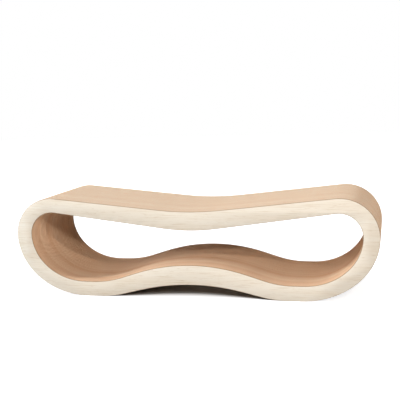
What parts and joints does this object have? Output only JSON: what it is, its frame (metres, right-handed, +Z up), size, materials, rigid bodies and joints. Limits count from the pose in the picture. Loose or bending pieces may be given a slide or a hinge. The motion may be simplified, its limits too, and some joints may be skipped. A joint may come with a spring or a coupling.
{
  "type": "cardboard cat scratcher",
  "caption": "Low looped cat lounge laminated from die-cut corrugated cardboard, with a dipped scratching deck, a through hollow, rounded ends and pale printed side panels.",
  "frame": {"origin": "on the floor under the middle of the lounge", "axes": "+X along the lounge, +Y from the front panel to the rear panel, +Z up"},
  "size_m": [0.86, 0.268, 0.235],
  "materials": {
    "printed_panel": "matt paper with a pale wood-grain print",
    "corrugated_board": "raw kraft corrugated board, cut edges with open flutes"
  },
  "bodies": {
    "root": {"front_panel": "printed_panel", "rear_panel": "printed_panel", "core_layer_01": "corrugated_board", "core_layer_02": "corrugated_board", "core_layer_03": "corrugated_board", "core_layer_04": "corrugated_board", "core_layer_05": "corrugated_board", "core_layer_06": "corrugated_board", "core_layer_07": "corrugated_board", "core_layer_08": "corrugated_board", "core_layer_09": "corrugated_board", "core_layer_10": "corrugated_board", "core_layer_11": "corrugated_board", "core_layer_12": "corrugated_board", "core_layer_13": "corrugated_board"}
  },
  "joints": []
}
